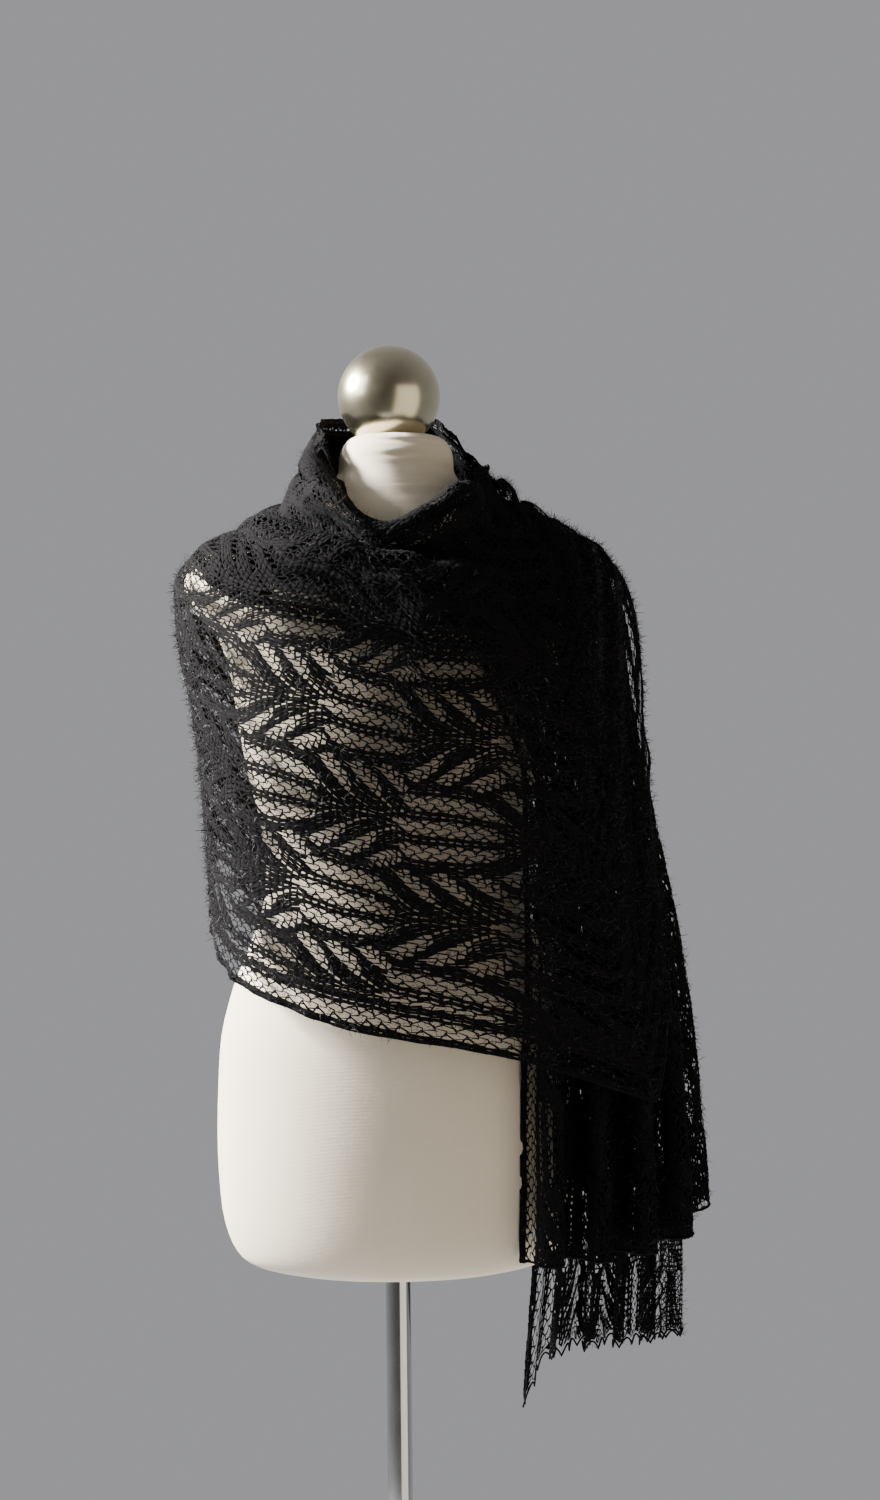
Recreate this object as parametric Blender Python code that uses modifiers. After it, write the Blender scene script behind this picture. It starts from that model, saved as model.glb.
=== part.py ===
"""Lace shawl draped on a dress form with a ball finial, pole and round base.

Metres, +Z up, origin on the floor under the pole. The form faces -Y.
A bearing is measured in degrees round the form: 0 at the front, 90 at +X, 180 behind.
The shawl is one long stole. Its near end hangs at the front right, it climbs over that
shoulder, passes behind the neck, crosses the front and goes back over the same shoulder.
"""
import math

import bmesh
import bpy
import numpy as np

# Driving dimensions of the stand
BASE_RADIUS = 0.160
BASE_THICKNESS = 0.014
BASE_EDGE = 0.003
COLLAR_RADIUS = 0.030
COLLAR_HEIGHT = 0.036
POLE_RADIUS = 0.012
FORM_BOTTOM = 0.720
NECK_TOP = 1.487
BALL_RADIUS = 0.0475
BALL_CENTRE = 1.5245
SEAT_GAP = 0.0003

# Driving dimensions of the shawl
STOLE_WIDTH = 0.571
WALL = 0.0020
PLEATS = 5
ROLLS = 6
ROLL_REACH = 0.34
ROWS = 25
HOLE = 0.0125
SEAM = 0.0009
TURN = 0.1
MITRE = 1.35
TIP_REACH = 12
LIFT_REACH = 4

# Rings of the form: height, half width, depth in front, depth behind, in millimetres
FORM_RINGS = (
    ("hem", 720, 118, 84, 84),
    ("hem round", 726, 139, 100, 100),
    ("hem side", 742, 153, 109, 109),
    ("low hip", 780, 163, 115, 116),
    ("hip", 840, 166, 117, 119),
    ("high hip", 920, 163, 113, 117),
    ("belly", 975, 151, 107, 108),
    ("over waist", 1020, 133, 100, 96),
    ("waist", 1070, 119, 95, 87),
    ("ribs", 1120, 122, 101, 90),
    ("under bust", 1170, 133, 113, 97),
    ("bust", 1220, 143, 120, 103),
    ("chest", 1265, 149, 115, 105),
    ("armhole", 1305, 163, 106, 103),
    ("shoulder cap", 1332, 187, 97, 98),
    ("shoulder end", 1350, 192, 91, 94),
    ("shoulder", 1366, 187.4, 84, 88),
    ("mid shoulder", 1384, 166, 77, 82),
    ("inner shoulder", 1402, 128, 71, 75),
    ("neck root", 1418, 95, 65, 69),
    ("neck base", 1436, 69, 58, 61),
    ("neck", 1458, 55, 53, 53),
    ("neck top", 1487, 54, 52, 52),
)

# The space the cloth hangs in: height, reach to -X, to +X, in front, behind (mm), squareness
CAPE_LEVELS = (
    ("hem tip", 540, 158, 290, 136, 152, 2.0),
    ("hem", 740, 158, 290, 134, 150, 2.0),
    ("hip", 860, 158, 283, 133, 148, 2.0),
    ("high hip", 950, 158, 275, 131, 144, 2.1),
    ("border", 1030, 161, 264, 131, 138, 2.2),
    ("waist", 1100, 166, 250, 132, 132, 2.2),
    ("ribs", 1180, 172, 233, 133, 128, 2.3),
    ("bust", 1240, 180, 223, 130, 126, 2.3),
    ("chest", 1300, 192, 213, 119, 121, 2.4),
    ("shoulder side", 1350, 195, 198, 104, 114, 2.4),
    ("shoulder", 1376, 177, 181, 94, 107, 2.3),
    ("mid shoulder", 1400, 128, 142, 84, 97, 2.1),
    ("inner shoulder", 1425, 100, 108, 74, 85, 2.0),
    ("neck root", 1450, 79, 84, 67, 75, 2.0),
    ("collar", 1480, 67, 73, 62, 68, 2.0),
    ("collar top", 1512, 63, 68, 60, 64, 2.0),
)

# Sections across the stole from its upper edge to its lower edge, in order along its length:
# bearing of the upper edge, of a point MID_SHARE of the way down, and of the lower edge,
# how soon the section turns from one to the next (1 is evenly, less is sooner),
# height (mm) of the upper and lower edge, stand-off (mm) of each edge, how fully the pleats
# and the rolls of the cowl are folded, how far the folds lie inwards, and how far (mm) the
# corner of the upper edge hangs below the section's line and that of the lower edge is above it.
MID_SHARE = 0.45
SECTIONS = (
    ("near hem", 44, 66.5, 93, 1.0, 738, 742, 0, 0, 0.93, 0.0, 1.0, 0, 48),
    ("near skirt", 45.5, 67, 93, 1.0, 900, 905, 0, 0, 0.90, 0.0, 1.0, 0, 20),
    ("near hip", 47, 67.5, 92.5, 1.0, 1040, 1050, 0, 0, 0.90, 0.0, 1.0, 0, 0),
    ("near waist", 47, 67, 92, 1.0, 1160, 1160, 0, 0, 0.86, 0.0, 1.0, 0, 0),
    ("near bust", 40, 63, 91, 1.0, 1240, 1240, 0, 0, 0.74, 0.0, 1.0, 0, 0),
    ("near chest", 32, 58, 90, 1.0, 1320, 1312, 0, 0, 0.50, 0.0, 0.8, 0, 0),
    ("near shoulder", 38, 61, 89, 1.0, 1393, 1350, 0, 0, 0.26, 0.0, 0.3, 0, 0),
    ("near crest", 72, 82, 95, 1.0, 1444, 1374, 0, 0, 0.20, 0.0, 0.0, 0, 0),
    ("blade top", 108, 106, 102, 1.0, 1458, 1345, 0, 0, 0.20, 0.0, 0.0, 0, 0),
    ("blade", 127, 122, 114, 1.0, 1484, 1270, 0, 0, 0.26, 0.0, 0.0, 0, 0),
    ("back right", 152, 145, 138, 1.0, 1506, 1130, 0, 0, 0.35, 0.2, 0.0, 0, 0),
    ("back", 180, 174, 168, 1.0, 1510, 1035, 0, 0, 0.35, 0.3, 0.0, 0, 0),
    ("back left", 208, 204, 199, 1.0, 1510, 1000, 0, 2, 0.35, 0.3, 0.0, 0, 0),
    ("left blade", 236, 233, 229, 1.0, 1508, 1030, 0, 4, 0.25, 0.3, 0.0, 0, 0),
    ("left back", 256, 254, 250, 1.0, 1504, 1096, 0, 9, 0.0, 0.2, 0.0, 0, 0),
    ("left side", 272, 271, 264, 0.6, 1498, 1072, 0, 3, 0.0, 0.2, 0.0, 0, 0),
    ("left front", 296, 296, 283, 0.5, 1478, 1028, 0, 0, 0.0, 0.4, 0.0, 0, 0),
    ("left breast", 322, 317, 303, 0.45, 1440, 992, 0, 0, 0.0, 0.7, 0.0, 0, 0),
    ("front left", 345, 336, 322, 0.45, 1409, 973, 0, 0, 0.0, 0.9, 0.0, 0, 0),
    ("front", 368, 354, 341, 0.45, 1399, 956, 3, 0, 0.0, 0.9, 0.0, 0, 0),
    ("front right", 390, 371, 360, 0.5, 1415, 946, 9, 2, 0.0, 0.7, 0.0, 0, 0),
    ("right breast", 407, 384, 380, 0.5, 1434, 938, 11, 6, 0.0, 0.6, 0.0, 0, 0),
    ("over the end", 421, 398, 401, 0.5, 1446, 925, 11, 11, 0.0, 0.5, 0.0, 0, 0),
    ("right flank", 433, 408, 418, 0.52, 1452, 903, 11, 11, 0.0, 0.5, 0.0, 0, 0),
    ("corner", 444, 416, 431, 0.55, 1456, 880, 11, 11, 0.0, 0.4, 0.0, 0, 0),
    ("turned edge", 452, 420, 434, 0.58, 1459, 955, 11, 12, 0.08, 0.25, 0.0, 0, 0),
    ("edge at waist", 459, 424, 435, 0.6, 1460, 1060, 11, 12, 0.18, 0.1, 0.0, 0, 0),
    ("edge at bust", 466, 430, 438, 0.65, 1459, 1190, 12, 12, 0.24, 0.0, 0.0, 0, 0),
    ("edge at chest", 474, 441, 446, 0.8, 1455, 1300, 13, 13, 0.26, 0.0, 0.0, 0, 0),
    ("far crest", 482, 461, 456, 1.0, 1444, 1362, 14, 14, 0.27, 0.0, 0.0, 0, 0),
    ("far shoulder", 490, 476, 463, 1.0, 1412, 1330, 17, 17, 0.32, 0.0, 0.0, 0, 0),
    ("far blade", 495, 481, 467, 1.0, 1345, 1262, 21, 17, 0.48, 0.0, 0.0, 0, 0),
    ("far rib", 496, 482, 467, 1.0, 1240, 1160, 22, 12, 0.66, 0.0, 0.0, 0, 0),
    ("far waist", 495, 480, 464, 1.0, 1100, 1035, 18, 6, 0.82, 0.0, 0.35, 0, 0),
    ("far hip", 494, 478, 461, 1.0, 940, 895, 4, 2, 0.90, 0.0, 1.0, 0, 0),
    ("far skirt", 493, 477, 459, 1.0, 770, 752, 2, 0, 0.92, 0.0, 1.0, 8, 0),
    ("far hem", 497, 478, 459, 1.0, 606, 634, 0, 0, 0.94, 0.0, 1.0, 48, 8),
)

# Stretches of the stole: node, first and last section, columns of cells
STRETCHES = (
    ("shawl_near_end", "near hem", "near shoulder", 17),
    ("shawl_near_shoulder", "near shoulder", "blade", 9),
    ("shawl_back_panel", "blade", "left back", 13),
    ("shawl_left_shoulder", "left back", "left breast", 9),
    ("shawl_front_wrap", "left breast", "corner", 16),
    ("shawl_far_shoulder", "corner", "far blade", 13),
    ("shawl_far_end", "far blade", "far hem", 17),
)


LAST = len(SECTIONS) - 1


def clear_scene():
    for thing in list(bpy.data.objects):
        bpy.data.objects.remove(thing, do_unlink=True)


def make_collection(name):
    group = bpy.data.collections.new(name)
    bpy.context.scene.collection.children.link(group)
    return group


def make_material(name, colour, roughness, metallic):
    material = bpy.data.materials.new(name)
    material.use_nodes = True
    shader = material.node_tree.nodes["Principled BSDF"]
    shader.inputs["Base Color"].default_value = (*colour, 1.0)
    shader.inputs["Roughness"].default_value = roughness
    shader.inputs["Metallic"].default_value = metallic
    return material


def add_object(name, mesh, material, group):
    thing = bpy.data.objects.new(name, mesh)
    mesh.materials.append(material)
    group.objects.link(thing)
    return thing


def turned(name, profile, steps, material, group):
    """A turned solid from (radius, height) points that run from top to bottom."""
    mesh = bpy.data.meshes.new(name)
    mesh.from_pydata([(radius, 0.0, height) for radius, height in profile],
                     [(k, k + 1) for k in range(len(profile) - 1)], [])
    thing = add_object(name, mesh, material, group)
    screw = thing.modifiers.new("turn", "SCREW")
    screw.steps = steps
    screw.render_steps = steps
    screw.use_merge_vertices = True
    screw.merge_threshold = 0.00001
    screw.use_smooth_shade = True
    return thing


def smooth_between(known, values, wanted):
    """Curve through the values that never swings past them (monotone cubic)."""
    steps = np.diff(known)
    slopes = np.diff(values) / steps
    before, after = slopes[:-1], slopes[1:]
    weight_a = 2 * steps[1:] + steps[:-1]
    weight_b = steps[1:] + 2 * steps[:-1]
    same_way = before * after > 0
    safe_before = np.where(same_way, before, 1.0)
    safe_after = np.where(same_way, after, 1.0)
    inner = (weight_a + weight_b) / (weight_a / safe_before + weight_b / safe_after)
    tangents = np.concatenate(([slopes[0]], np.where(same_way, inner, 0.0), [slopes[-1]]))
    wanted = np.clip(wanted, known[0], known[-1])
    cell = np.clip(np.searchsorted(known, wanted, side="right") - 1, 0, len(steps) - 1)
    f = (wanted - known[cell]) / steps[cell]
    return (values[cell] * (1 + 2 * f) * (1 - f) ** 2
            + tangents[cell] * steps[cell] * f * (1 - f) ** 2
            + values[cell + 1] * f * f * (3 - 2 * f)
            + tangents[cell + 1] * steps[cell] * f * f * (f - 1))


def column(table, number):
    return np.array([row[number] for row in table], dtype=float)


CAPE_HEIGHTS = column(CAPE_LEVELS, 1) / 1000


def cape_point(bearing, height):
    """Point of the space the cloth hangs in, at a bearing in degrees and a height."""
    left, right, front, back = (smooth_between(CAPE_HEIGHTS, column(CAPE_LEVELS, k) / 1000, height)
                                for k in (2, 3, 4, 5))
    power = smooth_between(CAPE_HEIGHTS, column(CAPE_LEVELS, 6), height)
    sine, cosine = np.sin(np.radians(bearing)), np.cos(np.radians(bearing))
    across = np.where(sine >= 0, right, left)
    along = np.where(cosine >= 0, front, back)
    radius = ((np.abs(sine) / across) ** power + (np.abs(cosine) / along) ** power) ** (-1 / power)
    return np.stack([radius * sine, -radius * cosine, height], axis=-1)


def cape_normal(bearing, height):
    turn = cape_point(bearing + 0.5, height) - cape_point(bearing - 0.5, height)
    climb = cape_point(bearing, height + 0.002) - cape_point(bearing, height - 0.002)
    normal = np.cross(turn, climb)
    return normal / np.linalg.norm(normal, axis=-1, keepdims=True)


def meander(share, pleat_part, roll_part):
    """Folds that take up the cloth's spare width: place along the base, and depth.

    The cloth's direction swings as a sine of the distance along it, as a river's does,
    so full folds keep the cloth's length. Part folds leave the lace drawn together.
    """
    t = np.linspace(0.0, 1.0, 361)
    fade = np.clip((ROLL_REACH - t) / (0.4 * ROLL_REACH), 0.0, 1.0)
    total = max(pleat_part + roll_part, 1e-6)
    swing = (pleat_part * np.sin(2 * math.pi * PLEATS * t)
             + roll_part * fade * np.sin(2 * math.pi * ROLLS * t)) / total
    low, high = 0.0, 1.9
    for _ in range(24):
        guess = 0.5 * (low + high)
        if np.mean(np.cos(guess * swing)) > share:
            low = guess
        else:
            high = guess
    angle = low * min(total, 1.0) * swing
    step = t[1] - t[0]
    place = np.concatenate(([0.0], np.cumsum(0.5 * (np.cos(angle[1:]) + np.cos(angle[:-1])) * step)))
    depth = np.concatenate(([0.0], np.cumsum(0.5 * (np.sin(angle[1:]) + np.sin(angle[:-1])) * step)))
    return t, place / place[-1], depth / place[-1]


def section_values(u):
    """The values of the table of sections at a place u along it."""
    known = np.arange(len(SECTIONS), dtype=float)
    return [float(smooth_between(known, column(SECTIONS, k), np.array([u]))[0]) for k in range(1, 14)]


def section_points(u, rows):
    """Points across the stole at place u, at shares of its width from the upper edge."""
    (bear_top, bear_mid, bear_low, soon, z_top, z_low,
     off_top, off_low, pleat, roll, inward, tip, lift) = section_values(u)
    v = np.linspace(0.0, 1.0, 241)
    w, middle = v ** soon, MID_SHARE ** soon
    bearing = (bear_top * (w - middle) * (w - 1) / middle
               + bear_mid * w * (1 - w) / (middle * (1 - middle))
               + bear_low * w * (w - middle) / (1 - middle))
    height = (z_top + (z_low - z_top) * v) / 1000
    base = cape_point(bearing, height)
    run = np.concatenate(([0.0], np.cumsum(np.linalg.norm(np.diff(base, axis=0), axis=1))))
    share = min(run[-1] / STOLE_WIDTH, 1.0)
    t, place, depth = meander(share, pleat, roll)
    depth = depth * run[-1]
    depth = depth - depth.min() - inward * (depth.max() - depth.min())
    along = np.interp(rows, t, place) * run[-1]
    bearing_at = np.interp(along, run, bearing)
    height_at = np.interp(along, run, height)
    stand_off = (off_top + (off_low - off_top) * rows) / 1000 + np.interp(rows, t, depth)
    points = cape_point(bearing_at, height_at) + cape_normal(bearing_at, height_at) * stand_off[:, None]
    points[:, 2] += (lift * rows ** LIFT_REACH - tip * (1 - rows) ** TIP_REACH) / 1000
    return points


def unit(vectors):
    return vectors / np.maximum(np.linalg.norm(vectors, axis=-1, keepdims=True), 1e-9)


def section_faces(u, rows):
    """Points of a section with the outward direction at each, longer where the cloth bends."""
    points = section_points(u, rows)
    onward = section_points(min(u + TURN, LAST), rows) - section_points(max(u - TURN, 0.0), rows)
    across = unit(np.diff(points, axis=0))
    before = np.concatenate((across[:1], across))
    after = np.concatenate((across, across[-1:]))
    middle = unit(before + after)
    straight = np.sum(middle * after, axis=1, keepdims=True)
    return points, unit(np.cross(middle, onward)) / np.maximum(straight, 1 / MITRE)


def section_number(name):
    return [row[0] for row in SECTIONS].index(name)


def is_gap(number, row):
    """Where the largest gaps of the lace fall, staggered as its groups of leaves are."""
    if row in (0, ROWS - 1):
        return (number + row) % 2 == 0
    return row % 12 == (5 if number % 2 else 11) and row < ROWS - 2


def thickened(name, points, outward, faces):
    """A closed wall from a sheet: its faces moved out and in, and a rim round every open edge."""
    points, outward = np.array(points), np.array(outward)
    count = len(points)
    both = np.concatenate((points + outward * WALL / 2, points - outward * WALL / 2))
    halves, sides = [], set()
    for a, b, c, d in faces:
        if np.linalg.norm(points[a] - points[c]) < np.linalg.norm(points[b] - points[d]):
            halves += [(a, b, c), (a, c, d)]
        else:
            halves += [(a, b, d), (b, c, d)]
        sides.update(((a, b), (b, c), (c, d), (d, a)))
    rims = [(b, a, a + count, b + count) for a, b in sides if (b, a) not in sides]
    inner = [tuple(k + count for k in reversed(half)) for half in halves]
    mesh = bpy.data.meshes.new(name)
    mesh.from_pydata(both.tolist(), [], [*halves, *inner, *sorted(rims)])
    return mesh


def lace_wall(name, first, last, columns, material, group):
    """One stretch of the stole: a sheet of cells with its largest gaps cut, then thickened."""
    edges = np.linspace(section_number(first), section_number(last), columns + 1)
    rows = np.linspace(0.0, 1.0, ROWS + 1)
    grid = [section_faces(u, rows) for u in edges]
    points = np.array([line[0] for line in grid])
    outward = np.array([line[1] for line in grid])
    for end, inner in ((0, 1), (-1, -2)):
        if 0 < edges[end] < LAST:
            along = unit(np.gradient(points[end], axis=0))
            back = points[inner] - points[end]
            points[end] += unit(back - along * np.sum(back * along, axis=1, keepdims=True)) * SEAM / 2
    knots, directions, faces = list(points.reshape(-1, 3)), list(outward.reshape(-1, 3)), []
    line = ROWS + 1
    for c in range(columns):
        for r in range(ROWS):
            corners = (c * line + r, c * line + r + 1, (c + 1) * line + r + 1, (c + 1) * line + r)
            cell_length = 0.5 * (np.linalg.norm(points[c + 1, r] - points[c, r])
                                 + np.linalg.norm(points[c + 1, r + 1] - points[c, r + 1]))
            cell_height = min(np.linalg.norm(points[c, r + 1] - points[c, r]),
                              np.linalg.norm(points[c + 1, r + 1] - points[c + 1, r]))
            if not is_gap(c, r) or min(cell_length, cell_height) < 1.3 * HOLE:
                faces.append(corners)
                continue
            across, along = 0.5 * HOLE / cell_height, 0.5 * HOLE / cell_length
            hole = []
            for side_u, side_t in ((-1, -1), (-1, 1), (1, 1), (1, -1)):
                f, g = 0.5 + side_u * along, 0.5 + side_t * across
                weights = ((1 - f) * (1 - g), (1 - f) * g, f * g, f * (1 - g))
                hole.append(len(knots))
                knots.append(sum(w * knots[k] for w, k in zip(weights, corners)))
                directions.append(sum(w * directions[k] for w, k in zip(weights, corners)))
            for k in range(4):
                after = (k + 1) % 4
                faces.append((corners[k], corners[after], hole[after], hole[k]))
    add_object(name, thickened(name, knots, directions, faces), material, group)


def make_form(material, group):
    """Torso and neck: a loft of oval rings, deeper in front than behind, with a round hem."""
    sides = 40
    shape = bmesh.new()
    rings = []
    for _, height, half, front, back in FORM_RINGS:
        ring = []
        for k in range(sides):
            angle = 2 * math.pi * k / sides
            deep = front if math.sin(angle) < 0 else back
            ring.append(shape.verts.new((half / 1000 * math.cos(angle),
                                         deep / 1000 * math.sin(angle), height / 1000)))
        rings.append(ring)
    for lower, upper in zip(rings[:-1], rings[1:]):
        for k in range(sides):
            after = (k + 1) % sides
            shape.faces.new((lower[k], lower[after], upper[after], upper[k]))
    shape.faces.new(list(reversed(rings[0])))
    shape.faces.new(rings[-1])
    mesh = bpy.data.meshes.new("dress_form")
    shape.to_mesh(mesh)
    shape.free()
    mesh.shade_smooth()
    return add_object("dress_form", mesh, material, group)


def make_ball(material, group):
    """Ball finial, flat where it sits on the neck."""
    seat = NECK_TOP + SEAT_GAP
    last = math.acos((seat - BALL_CENTRE) / BALL_RADIUS)
    points = 15
    profile = [(BALL_RADIUS * math.sin(last * k / points), BALL_CENTRE + BALL_RADIUS * math.cos(last * k / points))
               for k in range(points + 1)]
    profile.append((0.0, seat))
    return turned("ball_finial", profile, 28, material, group)


def make_stand(metal, group):
    """Round base on the floor, the collar that holds the pole, and the pole."""
    top, edge = BASE_THICKNESS, BASE_EDGE
    turned("base_disc", [(0.0, top), (BASE_RADIUS - edge, top), (BASE_RADIUS, top - edge),
                         (BASE_RADIUS, 0.0), (0.0, 0.0)], 48, metal, group)
    low, high = top + SEAT_GAP, top + SEAT_GAP + COLLAR_HEIGHT
    bore = POLE_RADIUS + SEAT_GAP
    turned("base_collar", [(bore, low), (bore, high), (COLLAR_RADIUS - 0.006, high),
                           (COLLAR_RADIUS, high - 0.006), (COLLAR_RADIUS, low), (bore, low)], 32, metal, group)
    turned("pole", [(0.0, FORM_BOTTOM - SEAT_GAP), (POLE_RADIUS, FORM_BOTTOM - SEAT_GAP),
                    (POLE_RADIUS, low), (0.0, low)], 24, metal, group)


def main():
    clear_scene()
    group = make_collection("lace_shawl_on_dress_form")
    jersey = make_material("cream jersey", (0.80, 0.74, 0.62), 0.85, 0.0)
    chrome = make_material("polished chrome", (0.72, 0.73, 0.75), 0.16, 1.0)
    satin = make_material("satin nickel", (0.66, 0.61, 0.50), 0.30, 1.0)
    yarn = make_material("black lace yarn", (0.012, 0.012, 0.014), 0.9, 0.0)
    make_stand(chrome, group)
    make_form(jersey, group)
    make_ball(satin, group)
    for name, first, last, columns in STRETCHES:
        lace_wall(name, first, last, columns, yarn, group)


main()
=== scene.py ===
"""Looks of a lace shawl on a dress form: the knitted yarn, its halo, the jersey and the metal.

Metres, +Z up, the form faces -Y. A place on the stole is s, the distance along its length from
the near hem, and t, the share of its width from the upper edge. The drape is the CAD's own.
"""
import math

import bpy
import numpy as np
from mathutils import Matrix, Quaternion, Vector


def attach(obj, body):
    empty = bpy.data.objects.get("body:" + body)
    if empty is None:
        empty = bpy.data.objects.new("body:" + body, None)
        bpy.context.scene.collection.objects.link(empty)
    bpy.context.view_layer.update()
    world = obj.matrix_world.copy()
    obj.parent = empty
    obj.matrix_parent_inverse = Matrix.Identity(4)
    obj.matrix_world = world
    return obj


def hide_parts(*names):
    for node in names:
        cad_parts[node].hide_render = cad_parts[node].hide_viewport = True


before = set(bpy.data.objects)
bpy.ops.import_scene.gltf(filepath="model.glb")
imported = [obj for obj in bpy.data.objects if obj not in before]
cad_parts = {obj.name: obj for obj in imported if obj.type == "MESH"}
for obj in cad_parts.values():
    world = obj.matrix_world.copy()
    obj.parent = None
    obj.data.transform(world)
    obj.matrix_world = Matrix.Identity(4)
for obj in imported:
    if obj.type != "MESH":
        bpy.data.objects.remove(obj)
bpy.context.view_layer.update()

# Driving dimensions of the stole and its yarn
STOLE_WIDTH = 0.571
PLEATS = 5
ROLLS = 6
ROLL_REACH = 0.34
TIP_REACH = 12
LIFT_REACH = 4
MID_SHARE = 0.45
REPEATS_ACROSS = 3
REPEATS_ALONG = 19
YARN_OPEN = 0.00062
YARN_DENSE = 0.00112
YARN_RIB = 0.00142
UNEVEN = 0.00028
RUFFLE = 0.0024
BORDER_YARN = 0.95
BORDER_REACH = 0.055
CORD = 0.00095
RELIEF = 0.00035
POINT_DEPTH = 0.0085
POINT_REACH = 0.030
POINTS = 28
COWL_REACH = 0.36
COWL_SWELL = 0.35
ROLL_DEPTH = 0.0072
ROLL_PITCH = 0.088
LEDGE_DEPTH = 0.010
NECK_DIP = 0.015
TURN_DEPTH = 0.005
TURN_SHIFT = 0.021
COWL_ENDS = ("near crest", "blade", "right breast", "corner")
PLEAT_DEPTH = 0.006
PLEATS_FROM = 0.115
PLEATS_TO = 0.74
WING_YARN = 0.64
CREST_DROP = 0.012
CREST_ENDS = ("right breast", "right flank", "far shoulder", "far blade")
COLLAR_RISE = 0.015
COLLAR_ENDS = ("near crest", "blade top", "blade", "back")

# Light that reaches the piece from behind the camera and from the wall
ROOM_SHADE = (0.075, 0.07, 0.062)
WALL_SHADE = (0.38, 0.38, 0.39)

# Driving dimensions of the stand
BASE_RADIUS = 0.160
BASE_THICKNESS = 0.014
BASE_EDGE = 0.003
COLLAR_RADIUS = 0.030
COLLAR_HEIGHT = 0.036
POLE_RADIUS = 0.012
FORM_BOTTOM = 0.720
NECK_TOP = 1.487
BALL_RADIUS = 0.0475
BALL_CENTRE = 1.5245
SEAT_GAP = 0.0003

# Rings of the form: height, half width, depth in front, depth behind, in millimetres
FORM_RINGS = (
    ("hem", 720, 118, 84, 84),
    ("hem round", 726, 139, 100, 100),
    ("hem side", 742, 153, 109, 109),
    ("low hip", 780, 163, 115, 116),
    ("hip", 840, 166, 117, 119),
    ("high hip", 920, 163, 113, 117),
    ("belly", 975, 151, 107, 108),
    ("over waist", 1020, 133, 100, 96),
    ("waist", 1070, 119, 95, 87),
    ("ribs", 1120, 122, 101, 90),
    ("under bust", 1170, 133, 113, 97),
    ("bust", 1220, 143, 120, 103),
    ("chest", 1265, 149, 115, 105),
    ("armhole", 1305, 163, 106, 103),
    ("shoulder cap", 1332, 187, 97, 98),
    ("shoulder end", 1350, 192, 91, 94),
    ("shoulder", 1366, 187.4, 84, 88),
    ("mid shoulder", 1384, 166, 77, 82),
    ("inner shoulder", 1402, 128, 71, 75),
    ("neck root", 1418, 95, 65, 69),
    ("neck base", 1436, 69, 58, 61),
    ("neck", 1458, 55, 53, 53),
    ("neck top", 1487, 54, 52, 52),
)

# Creases of the neck's jersey: height, slope, bearing of its middle and reach in degrees, depth
# and width in metres
NECK_CREASES = (
    (1.4795, 0.0020, -18, 34, 0.0016, 0.0018),
    (1.4770, -0.0030, 30, 30, 0.0013, 0.0020),
    (1.4660, 0.0015, 12, 26, 0.0016, 0.0026),
    (1.4560, -0.0040, 40, 40, 0.0009, 0.0040),
    (1.4300, 0.0030, -5, 38, 0.0010, 0.0024),
    (1.4230, 0.0010, 5, 30, 0.0006, 0.0018),
    (1.4700, 0.0040, 170, 50, 0.0010, 0.0030),
    (1.4500, -0.0030, 200, 45, 0.0008, 0.0030),
)
NECK_ROUND = 0.022
NECK_LEAN = 0.0060

# The space the cloth hangs in: height, reach to -X, to +X, in front, behind (mm), squareness
CAPE_LEVELS = (
    ("hem tip", 540, 158, 290, 136, 152, 2.0),
    ("hem", 740, 158, 290, 134, 150, 2.0),
    ("hip", 860, 158, 283, 133, 148, 2.0),
    ("high hip", 950, 158, 275, 131, 144, 2.1),
    ("border", 1030, 161, 264, 131, 138, 2.2),
    ("waist", 1100, 166, 250, 132, 132, 2.2),
    ("ribs", 1180, 172, 233, 133, 128, 2.3),
    ("bust", 1240, 180, 223, 130, 126, 2.3),
    ("chest", 1300, 192, 213, 119, 121, 2.4),
    ("shoulder side", 1350, 195, 198, 104, 114, 2.4),
    ("shoulder", 1376, 177, 181, 94, 107, 2.3),
    ("mid shoulder", 1400, 128, 142, 84, 97, 2.1),
    ("inner shoulder", 1425, 100, 108, 74, 85, 2.0),
    ("neck root", 1450, 79, 84, 67, 75, 2.0),
    ("collar", 1480, 67, 73, 62, 68, 2.0),
    ("collar top", 1512, 63, 68, 60, 64, 2.0),
)

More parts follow.
